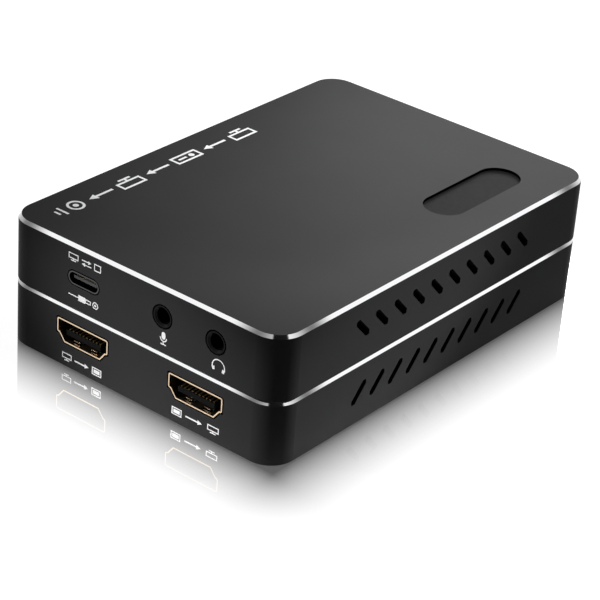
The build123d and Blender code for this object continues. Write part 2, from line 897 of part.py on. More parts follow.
receiver_heat_sink.part.label = "receiver_heat_sink"
export_step(receiver_heat_sink.part, "parts/receiver_heat_sink.step")


def make_crystal(name, place, seat):
    """A crystal in its low metal can."""
    with BuildPart() as crystal:
        with BuildSketch(Plane.XY.offset(seat)) as crystal_face:
            with Locations(place):
                Rectangle(crystal_length, crystal_width)
            chamfer(crystal_face.vertices(), length=crystal_corner)
        extrude(amount=crystal_height)
    crystal.part.label = name
    export_step(crystal.part, f"parts/{name}.step")


make_crystal("lower_crystal", on_board(lower_crystal_place_shares), lower_board_top)
make_crystal("upper_crystal", on_board(upper_crystal_place_shares), upper_board_top)


def make_coils(name, places, seat):
    """Moulded power coils."""
    with BuildPart() as coils:
        with BuildSketch(Plane.XY.offset(seat)) as coil_faces:
            with Locations(*places):
                Rectangle(coil_size, coil_size)
            chamfer(coil_faces.vertices(), length=coil_corner)
        extrude(amount=coil_height)
    coils.part.label = name
    export_step(coils.part, f"parts/{name}.step")


lower_coil_places = [on_board((share, lower_coil_y_share)) for share in lower_coil_x_shares]
upper_coil_places = [on_board((share, upper_coil_y_share)) for share in upper_coil_x_shares]
make_coils("lower_coils", lower_coil_places, lower_board_top)
make_coils("upper_coils", upper_coil_places, upper_board_top)

# Electrolytic capacitors on the lower board: round cans on square bases
can_places = [on_board((share, can_y_share)) for share in can_x_shares]

with BuildPart() as can_form:
    with BuildSketch(Plane.XY.offset(lower_board_top)):
        Rectangle(can_diameter, can_diameter)
    extrude(amount=can_base)
    with BuildSketch(Plane.XY.offset(lower_board_top + can_base)):
        Circle(can_diameter / 2)
    extrude(amount=can_height - can_base)

with BuildPart() as can_capacitors:
    with Locations(*can_places):
        add(can_form.part)

can_capacitors.part.label = "can_capacitors"
export_step(can_capacitors.part, "parts/can_capacitors.step")

# Ceramic capacitors on the upper board
with BuildPart() as ceramic_capacitors:
    with BuildSketch(Plane.XY.offset(upper_board_top)):
        with Locations(on_board(ceramic_place_shares)):
            with GridLocations(ceramic_pitch, 0, ceramic_count, 1):
                Rectangle(ceramic_width, ceramic_length)
    extrude(amount=ceramic_height)

ceramic_capacitors.part.label = "ceramic_capacitors"
export_step(ceramic_capacitors.part, "parts/ceramic_capacitors.step")
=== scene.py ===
import json
import math

import bmesh
import bpy
from mathutils import Matrix, Vector


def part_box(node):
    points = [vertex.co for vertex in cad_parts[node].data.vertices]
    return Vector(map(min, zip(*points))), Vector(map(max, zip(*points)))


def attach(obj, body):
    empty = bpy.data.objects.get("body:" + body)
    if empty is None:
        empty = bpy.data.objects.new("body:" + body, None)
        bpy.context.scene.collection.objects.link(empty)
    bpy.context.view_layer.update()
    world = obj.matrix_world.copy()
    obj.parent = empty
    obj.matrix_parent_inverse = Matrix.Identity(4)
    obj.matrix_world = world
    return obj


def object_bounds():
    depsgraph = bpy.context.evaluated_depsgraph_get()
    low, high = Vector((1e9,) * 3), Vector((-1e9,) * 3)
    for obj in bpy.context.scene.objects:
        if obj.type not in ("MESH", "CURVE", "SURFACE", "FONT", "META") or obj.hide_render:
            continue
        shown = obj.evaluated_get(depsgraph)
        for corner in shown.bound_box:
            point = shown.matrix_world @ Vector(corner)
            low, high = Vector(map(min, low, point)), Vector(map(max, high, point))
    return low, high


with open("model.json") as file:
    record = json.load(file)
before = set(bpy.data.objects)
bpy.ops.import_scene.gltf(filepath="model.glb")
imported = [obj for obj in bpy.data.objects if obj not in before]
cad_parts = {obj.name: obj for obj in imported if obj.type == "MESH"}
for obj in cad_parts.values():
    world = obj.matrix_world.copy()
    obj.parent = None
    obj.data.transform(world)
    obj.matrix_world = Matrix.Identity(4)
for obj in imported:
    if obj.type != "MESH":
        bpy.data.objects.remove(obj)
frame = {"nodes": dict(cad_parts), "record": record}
cad_low, cad_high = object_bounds()

MM = 0.001
FRONT = cad_low[1]
TOP = cad_high[2]
HALF_WIDTH = cad_high[0]
HALF_LENGTH = cad_high[1]
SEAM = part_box("upper_shell")[0][2]

# Camera, fitted to the box's straight edges: degrees, metres, and millimetres for lens and sensor
CAMERA_AZIMUTH = 37.575
CAMERA_ELEVATION = 28.914
CAMERA_ROLL = 4.302
CAMERA_DISTANCE = 0.53144
CAMERA_RIGHT = -0.000096
CAMERA_UP = 0.002881
CAMERA_LENS = 138.43
SENSOR_WIDTH = 36.0


def add_camera():
    """The camera, looking at the origin but for a small shift to the right and up."""
    azimuth = math.radians(CAMERA_AZIMUTH)
    elevation = math.radians(CAMERA_ELEVATION)
    back = Vector(
        (
            math.sin(azimuth) * math.cos(elevation),
            -math.cos(azimuth) * math.cos(elevation),
            math.sin(elevation),
        )
    )
    level = Vector((math.cos(azimuth), math.sin(azimuth), 0))
    upright = back.cross(level)
    roll = math.radians(CAMERA_ROLL)
    right = math.cos(roll) * level + math.sin(roll) * upright
    up = math.cos(roll) * upright - math.sin(roll) * level
    place = Matrix((right, up, back)).transposed().to_4x4()
    place.translation = back * CAMERA_DISTANCE + right * CAMERA_RIGHT + up * CAMERA_UP
    camera = bpy.data.objects.new("camera", bpy.data.cameras.new("camera"))
    camera.data.lens = CAMERA_LENS
    camera.data.sensor_width = SENSOR_WIDTH
    camera.matrix_world = place
    bpy.context.collection.objects.link(camera)
    bpy.context.scene.camera = camera


class Nodes:
    """Short calls for the shader nodes of a material or of the world."""

    def __init__(self, owner, output="OutputMaterial"):
        owner.use_nodes = True
        self.owner = owner
        self.tree = owner.node_tree
        self.tree.nodes.clear()
        self.output = self.new(output)

    def new(self, kind, **settings):
        node = self.tree.nodes.new("ShaderNode" + kind)
        for key, value in settings.items():
            setattr(node, key, value)
        return node

    def link(self, source, target):
        self.tree.links.new(source, target)

    def fill(self, socket, value):
        """Links another node's output to the socket, or sets a constant on it."""
        if isinstance(value, bpy.types.NodeSocket):
            self.link(value, socket)
        else:
            socket.default_value = value

    def maths(self, operation, *values):
        node = self.new("Math", operation=operation)
        for socket, value in zip(node.inputs, values):
            self.fill(socket, value)
        return node.outputs[0]

    def distance(self, across, along):
        """The straight distance over two lengths at a right angle."""
        squares = [self.maths("POWER", length, 2.0) for length in (across, along)]
        return self.maths("SQRT", self.maths("ADD", *squares))

    def split(self, vector):
        """The X, Y and Z of a vector, by name."""
        node = self.new("SeparateXYZ")
        self.link(vector, node.inputs[0])
        return node.outputs

    def place(self):
        """The X, Y and Z of the shaded point in the shared frame."""
        return self.split(self.new("NewGeometry").outputs["Position"])

    def reach(self, vector, direction):
        """How far a vector reaches along a direction."""
        node = self.new("VectorMath", operation="DOT_PRODUCT")
        self.link(vector, node.inputs[0])
        node.inputs[1].default_value = direction
        return node.outputs["Value"]

    def rays(self, *kinds):
        """1 for rays of the kinds given, 0 for all others."""
        path = self.new("LightPath")
        share = path.outputs[kinds[0]]
        for kind in kinds[1:]:
            share = self.maths("MAXIMUM", share, path.outputs[kind])
        return share

    def noise(self, scale, detail=3.0):
        node = self.new("TexNoise")
        node.inputs["Scale"].default_value = scale
        node.inputs["Detail"].default_value = detail
        self.link(self.new("TexCoord").outputs["Object"], node.inputs["Vector"])
        return node.outputs["Fac"]

    def blend(self, share, first, second, kind="RGBA"):
        node = self.new("Mix", data_type=kind)
        self.fill(node.inputs["Factor"], share)
        self.fill(node.inputs["A"], first)
        self.fill(node.inputs["B"], second)
        return node.outputs["Result"]

    def between(self, value, low, high, start=0.0, full=1.0, shape="LINEAR"):
        """The value, from start to full, spread from low to high."""
        node = self.new("MapRange", interpolation_type=shape)
        self.link(value, node.inputs["Value"])
        node.inputs["From Min"].default_value = start
        node.inputs["From Max"].default_value = full
        node.inputs["To Min"].default_value = low
        node.inputs["To Max"].default_value = high
        return node.outputs["Result"]

    def window(self, value, low, high):
        """1 where the value lies between low and high, 0 elsewhere."""
        above = self.maths("GREATER_THAN", value, low)
        below = self.maths("LESS_THAN", value, high)
        return self.maths("MULTIPLY", above, below)

    def bump(self, height, strength, distance):
        node = self.new("Bump")
        node.inputs["Strength"].default_value = strength
        node.inputs["Distance"].default_value = distance
        self.link(height, node.inputs["Height"])
        return node.outputs["Normal"]

    def shader(self, kind, **values):
        """A shader node; an underscore in the name of a value stands for a space."""
        node = self.new(kind)
        for key, value in values.items():
            self.fill(node.inputs[key.replace("_", " ")], value)
        return node

    def mix(self, share, first, second):
        """A share of the second shader over the first."""
        node = self.new("MixShader")
        self.link(share, node.inputs[0])
        self.link(first.outputs[0], node.inputs[1])
        self.link(second.outputs[0], node.inputs[2])
        return node

    def finish(self, shader):
        self.link(shader.outputs[0], self.output.inputs["Surface"])
        return self.owner


def new_material(name):
    return Nodes(bpy.data.materials.new(name))


def shade(color, factor):
    """A colour made lighter or darker, with its alpha of 1."""
    return tuple(min(1.0, part * factor) for part in color) + (1.0,)


# Grain of the plain materials: scale, how much broader the shades are, variation and relief
GRAIN = 900
BROADER = 12
SPREAD = 0.12
RELIEF_STRENGTH = 0.3
RELIEF_DEPTH = 0.01 * MM


def grained(name, color, roughness, metallic=0.0, specular=0.5, grain=GRAIN, spread=SPREAD):
    """A plain material whose colour, roughness and surface vary a little with a fine grain."""
    nodes = new_material(name)
    fine = nodes.noise(grain)
    broad = nodes.noise(grain / BROADER, detail=2.0)
    shader = nodes.shader(
        "BsdfPrincipled",
        Base_Color=nodes.blend(broad, shade(color, 1 - spread), shade(color, 1 + spread)),
        Roughness=nodes.between(fine, roughness * (1 - spread), min(1.0, roughness * (1 + spread))),
        Metallic=metallic,
        Specular_IOR_Level=specular,
        Normal=nodes.bump(fine, RELIEF_STRENGTH, RELIEF_DEPTH),
    )
    return nodes.finish(shader)


# Case: black anodised metal, its outward bevels along the top and the seam cut bright
CASE_BLACK = (0.032, 0.032, 0.0332)
CASE_SPREAD = 0.1
CASE_GRAIN = 2600
CASE_CLOUDS = 60
CASE_ROUGHNESS = (0.38, 0.46)
CASE_SPECULAR = 0.014
CASE_RELIEF = 0.25
CUT_BRIGHT = (0.93, 0.93, 0.94)
CUT_ROUGHNESS = (0.07, 0.11)
CORNER_RADIUS = 6.4 * MM

# The bevels, told by how far their faces look up and by their height; undercuts look down
BEVEL_TILT = (0.62, 0.79)
BEVEL_LEVEL = SEAM - 0.9 * MM
UNDERCUT_TILT = -0.5

# Walls behind the plain sides of both halves and in the window's recess, and the share of the black left on
# them as painted shade
LOWER_SIDE = (0.7 * MM, SEAM - 0.8 * MM)
UPPER_SIDE = (SEAM + 0.5 * MM, TOP - 0.8 * MM)
INSIDE_DEPTH = 0.12 * MM
RECESS_DEPTH = 0.05 * MM
INNER_SHADE_SHARE = 0.06

# Painted shade on the cut edges near a corner: where they are darkest, how far that reaches, and what
# brightness is left
CUT_SHADE_ACROSS = 6.4 * MM
CUT_SHADE_ALONG = 9.6 * MM
CUT_SHADE_REACH = 7.5 * MM
CUT_SHADE_LEAST = 0.2


def past_sides(nodes, place, inset):
    """How far a point lies past two lines, set inside the case's sides and inside its ends."""
    past = []
    for axis, half in (("X", HALF_WIDTH), ("Y", HALF_LENGTH)):
        size = nodes.maths("ABSOLUTE", place[axis])
        past.append(nodes.maths("SUBTRACT", size, half - inset))
    return past


def inset_from_outline(nodes, place):
    """How far inside the case's rounded outline a point lies, seen from above."""
    past = past_sides(nodes, place, CORNER_RADIUS)
    beyond = nodes.distance(*[nodes.maths("MAXIMUM", value, 0.0) for value in past])
    within = nodes.maths("MINIMUM", nodes.maths("MAXIMUM", *past), 0.0)
    return nodes.maths("SUBTRACT", CORNER_RADIUS, nodes.maths("ADD", beyond, within))


def shaded_inner_walls(nodes, place):
    """1 on the walls of the openings, the window's recess and the inside, which get painted shade and full
    roughness; 0 on the outside.
    """
    inset = inset_from_outline(nodes, place)
    height = place["Z"]
    halves = nodes.maths("ADD", nodes.window(height, *LOWER_SIDE), nodes.window(height, *UPPER_SIDE))
    sides = nodes.maths("MULTIPLY", nodes.maths("GREATER_THAN", inset, INSIDE_DEPTH), halves)
    deep = nodes.maths("GREATER_THAN", inset, CORNER_RADIUS)
    sunk = nodes.maths("MULTIPLY", deep, nodes.window(height, UPPER_SIDE[0], TOP - RECESS_DEPTH))
    return nodes.maths("MAXIMUM", sides, sunk)


def cut_painted_brightness(nodes, place):
    """1 along the straight cut edges, less where they turn into the rounded corners: painted shade on the
    bright cut.
    """
    across = nodes.maths("ABSOLUTE", place["X"])
    along = nodes.maths("ABSOLUTE", place["Y"])
    away = []
    for x, y in ((HALF_WIDTH - CUT_SHADE_ACROSS, HALF_LENGTH), (HALF_WIDTH, HALF_LENGTH - CUT_SHADE_ALONG)):
        away.append(nodes.distance(nodes.maths("SUBTRACT", across, x), nodes.maths("SUBTRACT", along, y)))
    nearest = nodes.maths("MINIMUM", *away)
    return nodes.between(nearest, CUT_SHADE_LEAST, 1.0, full=CUT_SHADE_REACH, shape="SMOOTHSTEP")


def case_metal():
    """Black on the outside, with painted shade on the inner walls; bright metal on the bevels, with painted
    shade near the corners.
    """
    nodes = new_material("case_metal")
    tilt = nodes.split(nodes.new("NewGeometry").outputs["True Normal"])["Z"]
    place = nodes.place()
    high = nodes.maths("GREATER_THAN", place["Z"], BEVEL_LEVEL)
    cut = nodes.maths("MULTIPLY", nodes.window(tilt, *BEVEL_TILT), high)
    inner = shaded_inner_walls(nodes, place)
    blast = nodes.noise(CASE_GRAIN, detail=2.0)
    clouds = nodes.noise(CASE_CLOUDS, detail=2.0)
    black = nodes.blend(clouds, shade(CASE_BLACK, 1 - CASE_SPREAD), shade(CASE_BLACK, 1 + CASE_SPREAD))
    # Painted shade: the inner walls keep only a small share of the black
    outside = nodes.blend(inner, black, shade(CASE_BLACK, INNER_SHADE_SHARE))
    # Painted shade: the bright cut darkens towards black near each corner
    bright = nodes.blend(cut_painted_brightness(nodes, place), (0, 0, 0, 1), CUT_BRIGHT + (1.0,))
    under = nodes.maths("LESS_THAN", tilt, UNDERCUT_TILT)
    dull = nodes.maths("MAXIMUM", inner, under)
    black_rough = nodes.maths("MAXIMUM", nodes.between(blast, *CASE_ROUGHNESS), dull)
    bright_rough = nodes.between(blast, *CUT_ROUGHNESS)
    relief = nodes.maths("MULTIPLY", blast, nodes.maths("SUBTRACT", 1.0, cut))
    shader = nodes.shader(
        "BsdfPrincipled",
        Base_Color=nodes.blend(cut, outside, bright),
        Roughness=nodes.blend(cut, black_rough, bright_rough, kind="FLOAT"),
        Metallic=cut,
        Specular_IOR_Level=CASE_SPECULAR,
        Normal=nodes.bump(relief, CASE_RELIEF, RELIEF_DEPTH),
    )
    return nodes.finish(shader)


# Light guide: clear moulding, a little cloudy
GUIDE_TINTS = ((0.82, 0.85, 0.87, 1), (0.9, 0.92, 0.93, 1))
GUIDE_CLOUDS = 120
GUIDE_ROUGHNESS = (0.15, 0.25)
GUIDE_TRANSMISSION = 0.7
GUIDE_INDEX = 1.49


def light_guide_clear():
    nodes = new_material("guide_clear")
    cloud = nodes.noise(GUIDE_CLOUDS)
    shader = nodes.shader(
        "BsdfPrincipled",
        Base_Color=nodes.blend(cloud, *GUIDE_TINTS),
        Roughness=nodes.between(cloud, *GUIDE_ROUGHNESS),
        Transmission_Weight=GUIDE_TRANSMISSION,
        IOR=GUIDE_INDEX,
    )
    return nodes.finish(shader)


# Boards: the scale of the copper tracks and the gaps between them, and the mask over both
TRACK_SCALE = 260
TRACK_GAP = 0.08
TRACK_STRENGTH = 0.2
TRACK_DEPTH = 0.03 * MM
MASK_TINTS = ((0.012, 0.03, 0.02, 1), (0.02, 0.05, 0.032, 1))
MASK_GRAIN = 700
MASK_ROUGHNESS = (0.3, 0.4)


def board_laminate():
    """Dark solder mask with the faint relief of the copper tracks under it."""
    nodes = new_material("board_laminate")
    tracks = nodes.new("TexBrick")
    tracks.inputs["Scale"].default_value = TRACK_SCALE
    tracks.inputs["Mortar Size"].default_value = TRACK_GAP
    nodes.link(nodes.new("TexCoord").outputs["Object"], tracks.inputs["Vector"])
    shader = nodes.shader(
        "BsdfPrincipled",
        Base_Color=nodes.blend(tracks.outputs["Fac"], *MASK_TINTS),
        Roughness=nodes.between(nodes.noise(MASK_GRAIN), *MASK_ROUGHNESS),
        Normal=nodes.bump(tracks.outputs["Fac"], TRACK_STRENGTH, TRACK_DEPTH),
    )
    return nodes.finish(shader)


# Video sockets: champagne plating, and how much darker and rougher it is behind the rim; the darker colour
# there is painted shade
SOCKET_GOLD = (0.78, 0.6, 0.42)
SOCKET_SPREAD = 0.05
SOCKET_ROUGHNESS = (0.2, 0.24)
RIM_DEPTH = 0.4 * MM
BEHIND_SHADE_SHARE = 0.3
BEHIND_ROUGHER = 0.15


def socket_plating():
    """Bright on the rim; painted shade darkens the pressed walls and springs behind it, which are also
    rougher.
    """
    nodes = new_material("socket_gold")
    behind = nodes.maths("GREATER_THAN", nodes.place()["Y"], FRONT + RIM_DEPTH)
    fine = nodes.noise(GRAIN)
    bright = nodes.blend(fine, shade(SOCKET_GOLD, 1 - SOCKET_SPREAD), shade(SOCKET_GOLD, 1 + SOCKET_SPREAD))
    rougher = nodes.maths("MULTIPLY", behind, BEHIND_ROUGHER)
    # Painted shade: behind the rim the plating keeps only a share of its colour
    shader = nodes.shader(
        "BsdfPrincipled",
        Base_Color=nodes.blend(behind, bright, shade(SOCKET_GOLD, BEHIND_SHADE_SHARE)),
        Roughness=nodes.maths("ADD", nodes.between(fine, *SOCKET_ROUGHNESS), rougher),
        Metallic=1.0,
        Normal=nodes.bump(fine, RELIEF_STRENGTH, RELIEF_DEPTH),
    )
    return nodes.finish(shader)


# Moulded blocks of the sockets: black, with a painted highlight in grey along the front edge of the one
# tongue above the seam
INSULATOR_BLACK = (0.003, 0.003, 0.003)
INSULATOR_ROUGHNESS = (0.35, 0.45)
INSULATOR_SPECULAR = 0.03
TONGUE_PAINTED_HIGHLIGHT = (0.075, 0.075, 0.077)
TONGUE_EDGE_DEPTH = 0.7 * MM


def moulded_insulator():
    nodes = new_material("insulator_black")
    place = nodes.place()
    ahead = nodes.maths("LESS_THAN", place["Y"], FRONT + TONGUE_EDGE_DEPTH)
    above = nodes.maths("GREATER_THAN", place["Z"], SEAM)
    fine = nodes.noise(GRAIN)
    black = nodes.blend(fine, shade(INSULATOR_BLACK, 1 - SPREAD), shade(INSULATOR_BLACK, 1 + SPREAD))
    # Painted highlight: the tongue's front edge above the seam is grey
    shader = nodes.shader(
        "BsdfPrincipled",
        Base_Color=nodes.blend(nodes.maths("MULTIPLY", ahead, above), black, shade(TONGUE_PAINTED_HIGHLIGHT, 1.0)),
        Roughness=nodes.between(fine, *INSULATOR_ROUGHNESS),
        Specular_IOR_Level=INSULATOR_SPECULAR,
        Normal=nodes.bump(fine, RELIEF_STRENGTH, RELIEF_DEPTH),
    )
    return nodes.finish(shader)


# Plain materials: colour, roughness, metallic share and specular level
PLAIN_MATERIALS = {
    "window_plastic": ((0.0115, 0.0115, 0.012), 0.6, 0.0, 0.025),
    "screw_black": ((0.03, 0.03, 0.031), 0.35, 0.8, 0.5),
    "spacer_brass": ((0.72, 0.52, 0.24), 0.28, 1.0, 0.5),
    "socket_dark": ((0.07, 0.07, 0.073), 0.22, 1.0, 0.5),
    # contact_gold is gold darkened well below its own colour: painted shade of the sockets it sits in
    "contact_gold": ((0.36, 0.25, 0.11), 0.38, 1.0, 0.5),
    "jack_plastic": ((0.003, 0.003, 0.0032), 0.25, 0.0, 0.06),
    "spring_nickel": ((0.7, 0.68, 0.63), 0.3, 1.0, 0.5),
    "lamp_white": ((0.85, 0.84, 0.76), 0.35, 0.0, 0.5),
    "chip_black": ((0.03, 0.03, 0.032), 0.5, 0.0, 0.5),
    "pad_silicone": ((0.4, 0.45, 0.52), 0.75, 0.0, 0.3),
    "sink_metal": ((0.06, 0.06, 0.063), 0.4, 0.8, 0.5),
    "can_metal": ((0.78, 0.78, 0.79), 0.25, 1.0, 0.5),
    "coil_ferrite": ((0.1, 0.1, 0.105), 0.6, 0.0, 0.5),
    "ceramic_tan": ((0.5, 0.36, 0.24), 0.5, 0.0, 0.5),
}


def make_materials():
    """Gives every CAD node the material that its slot in the record names."""
    made = {name: grained(name, *values) for name, values in PLAIN_MATERIALS.items()}
    made["case_metal"] = case_metal()
    made["guide_clear"] = light_guide_clear()
    made["board_laminate"] = board_laminate()
    made["socket_gold"] = socket_plating()
    made["insulator_black"] = moulded_insulator()
    for part in frame["record"]["subparts"]:
        node = frame["nodes"][part["node"]]
        node.data.materials.clear()
        node.data.materials.append(made[part["material_slot"]])


# Printed marks: thin flat shapes on a face of the case, set a little into it
INK_HEIGHT = 0.012 * MM
INK_ROOT = 0.004 * MM
ARC_STEP = 12.0


class Marks:
    """White shapes drawn in millimetres on one face, gathered into one thin mesh."""

    def __init__(self, origin, across, upward):
        self.origin = Vector(origin)
        self.across = Vector(across)
        self.upward = Vector(upward)
        self.outward = self.across.cross(self.upward)
        self.mesh = bmesh.new()

    def shape(self, points):
        """A filled outline, its points given anticlockwise."""
        rings = []
        for height in (-INK_ROOT, INK_HEIGHT):
            places = [
                self.origin + (self.across * x + self.upward * y) * MM + self.outward * height
                for x, y in points
            ]
            rings.append([self.mesh.verts.new(place) for place in places])
        low, high = rings
        self.mesh.faces.new(list(reversed(low)))
        self.mesh.faces.new(high)
        for index in range(len(points)):
            after = (index + 1) % len(points)
            self.mesh.faces.new((low[index], low[after], high[after], high[index]))

    def box(self, left, bottom, right, top):
        self.shape([(left, bottom), (right, bottom), (right, top), (left, top)])

    def bar(self, left, right, level, height):
        """A filled rectangle with a level line through its middle."""
        self.box(left, level - height / 2, right, level + height / 2)

    def frame(self, left, bottom, right, top, line):
        """The outline of a rectangle, as four bars that meet end to side."""
        self.box(left, bottom, right, bottom + line)
        self.box(left, top - line, right, top)
        self.box(left, bottom + line, left + line, top - line)
        self.box(right - line, bottom + line, right, top - line)

    def arc(self, level, radius, line, start, end, middle=0.0):
        """Part of a ring between two angles in degrees."""
        steps = max(2, round((end - start) / ARC_STEP))
        angles = [math.radians(start + (end - start) * i / steps) for i in range(steps + 1)]
        inner = radius - line
        for first, second in zip(angles, angles[1:]):
            corners = [(inner, first), (radius, first), (radius, second), (inner, second)]
            self.shape([(middle + r * math.cos(a), level + r * math.sin(a)) for r, a in corners])

    def disc(self, middle, level, radius):
        steps = round(360 / ARC_STEP)
        angles = [math.tau * i / steps for i in range(steps)]
        self.shape([(middle + radius * math.cos(a), level + radius * math.sin(a)) for a in angles])

    def capsule(self, level, width, height):
        """An upright filled pill over the origin."""
        radius = width / 2
        reach = height / 2 - radius
        steps = round(180 / ARC_STEP)
        points = []
        for side, start in ((1, 0), (-1, 180)):
            for i in range(steps + 1):
                angle = math.radians(start + 180 * i / steps)
                points.append((radius * math.cos(angle), level + side * reach + radius * math.sin(angle)))
        self.shape(points)

    def arrow(self, tail, tip, level, shaft, head):
        """A level arrow; the head is as tall as it is long."""
        way = 1 if tip > tail else -1
        neck = tip - way * head
        self.bar(*sorted((tail, neck)), level, shaft)
        corners = [(neck, level - head / 2), (tip, level), (neck, level + head / 2)]
        self.shape(corners if way > 0 else list(reversed(corners)))

    def screen(self, left, width, height, line):
        """A monitor that stands on the origin's level: its frame, its neck and its foot."""
        middle = left + width / 2
        self.frame(left, 2 * line, left + width, height, line)
        self.box(middle - line / 2, line, middle + line / 2, 2 * line)
        self.box(middle - width / 4, 0, middle + width / 4, line)

    def finish(self, name, ink):
        data = bpy.data.meshes.new(name)
        self.mesh.to_mesh(data)
        self.mesh.free()
        data.materials.append(ink)
        piece = bpy.data.objects.new(name, data)
        bpy.context.collection.objects.link(piece)
        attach(piece, "root")


# Signs on the port face: lines, arrows and boxes, in millimetres
FACE_LINE = 0.26
DATA_LINE = 0.24
VIDEO_ARROW = (0.36, 1.2)
DATA_ARROW = (0.26, 0.9)
BOX_WIDTH = 2.8
BOX_MARGIN = (0.5, 0.48)

# Origin of each sign, in millimetres across and up from the middle of its socket
MICROPHONE_PLACE = (0.55, -6.5)
HEADPHONES_PLACE = (1.05, -6.4)
VIDEO_IN_PLACE = (0.0, -7.155)
VIDEO_OUT_PLACE = (0.0, -6.725)
DATA_UPPER_PLACE = (0.0, 3.9)
DATA_LOWER_PLACE = (0.0, -4.3)


def by_socket(node, across, up):
    """Marks on the port face, with their origin beside the middle of a socket."""
    low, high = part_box(node)
    x = (low[0] + high[0]) / 2 + across * MM
    z = (low[2] + high[2]) / 2 + up * MM
    return Marks((x, FRONT, z), (1, 0, 0), (0, 0, 1))


def mark_microphone(ink):
    """A microphone under its socket: capsule, cradle, stem and foot."""
    capsule_size = (1.05, 1.75)
    capsule_level = 2.2
    cradle_level = 1.75
    cradle_radius = 1.02
    stem_top = 0.74
    foot_half = 0.75
    marks = by_socket("mic_jack_body", *MICROPHONE_PLACE)
    marks.capsule(capsule_level, *capsule_size)
    marks.arc(cradle_level, cradle_radius, FACE_LINE, 180, 360)
    marks.box(-FACE_LINE / 2, FACE_LINE, FACE_LINE / 2, stem_top)
    marks.box(-foot_half, 0, foot_half, FACE_LINE)
    marks.finish("microphone_mark", ink)


def mark_headphones(ink):
    """Headphones under their socket: a bow with an ear pad at each end."""
    bow_level = 1.1
    bow_radius = 1.8
    bow_droop = 8
    pad = [(1.86, 0.85), (1.5, 0), (0.95, 0.12), (1.1, 0.95)]
    marks = by_socket("headphone_jack_body", *HEADPHONES_PLACE)
    marks.arc(bow_level, bow_radius, FACE_LINE, -bow_droop, 180 + bow_droop)
    marks.shape([(-x, y) for x, y in pad])
    marks.shape([(x, y) for x, y in reversed(pad)])
    marks.finish("headphones_mark", ink)


def draw_box(marks, left, height):
    """The sign for the box: its outline with a filled rectangle inside."""
    across, up = BOX_MARGIN
    right = left + BOX_WIDTH
    marks.frame(left, 0, right, height, FACE_LINE)
    marks.box(left + across, up, right - across, height - up)


def mark_video_in(ink):
    """Under the socket that takes video in: a screen and an arrow to the box."""
    screen_left = -5.9
    screen_size = (2.9, 1.9)
    arrow_half = 2.1
    arrow_level = 0.98
    box_left = 3.1
    box_height = 1.88
    marks = by_socket("video_in_insulator", *VIDEO_IN_PLACE)
    marks.screen(screen_left, *screen_size, FACE_LINE)
    marks.arrow(-arrow_half, arrow_half, arrow_level, *VIDEO_ARROW)
    draw_box(marks, box_left, box_height)
    marks.finish("video_in_mark", ink)


def mark_video_out(ink):
    """Under the socket that gives video out: the box and an arrow to a screen."""
    box_left = -6.2
    box_height = 1.85
    arrow_half = 2.3
    arrow_level = 0.95
    screen_left = 3.8
    screen_size = (3.2, 1.88)
    marks = by_socket("video_out_insulator", *VIDEO_OUT_PLACE)
    draw_box(marks, box_left, box_height)
    marks.arrow(-arrow_half, arrow_half, arrow_level, *VIDEO_ARROW)
    marks.screen(screen_left, *screen_size, FACE_LINE)
    marks.finish("video_out_mark", ink)


def mark_data_port_above(ink):
    """A computer and another device over the data port, with arrows both ways between them."""
    screen_left = -4.5
    screen_size = (2.9, 1.85)
    arrow_ends = (-0.6, 2.2)
    arrow_levels = (1.3, 0.4)
    device = (3.0, 0.1, 5.0, 1.8)
    marks = by_socket("data_port_insulator", *DATA_UPPER_PLACE)
    marks.screen(screen_left, *screen_size, DATA_LINE)
    marks.arrow(*arrow_ends, arrow_levels[0], *DATA_ARROW)
    marks.arrow(*reversed(arrow_ends), arrow_levels[1], *DATA_ARROW)
    marks.frame(*device, DATA_LINE)
    marks.finish("data_port_upper_mark", ink)


def mark_data_port_below(ink):
    """A plug on its lead under the data port, pointing at a ring."""
    lead_left = -4.4
    grip_left = -1.4
    grip_height = 1.4
    tip_left = 0.6
    tip_right = 2.3
    tip_half = 0.5
    ring_middle = 3.6
    ring_radius = 0.85
    dot_radius = 0.3
    marks = by_socket("data_port_insulator", *DATA_LOWER_PLACE)
    marks.bar(lead_left, grip_left, 0, FACE_LINE)
    marks.bar(grip_left, tip_left, 0, grip_height)
    marks.frame(tip_left, -tip_half, tip_right, tip_half, DATA_LINE)
    marks.arc(0, ring_radius, DATA_LINE, 0, 360, ring_middle)
    marks.disc(ring_middle, 0, dot_radius)
    marks.finish("data_port_lower_mark", ink)


# Row of signs along the left edge of the top: its place in metres, and its signs in millimetres
ROW_INSET = 5.7 * MM
ROW_START = 16.0 * MM
ROW_WIDTH = 7.4
ROW_HEIGHT = 4.3
ROW_GAP = 1.8
ROW_LINE = 0.62
ROW_ARROW = (0.7, 2.2)


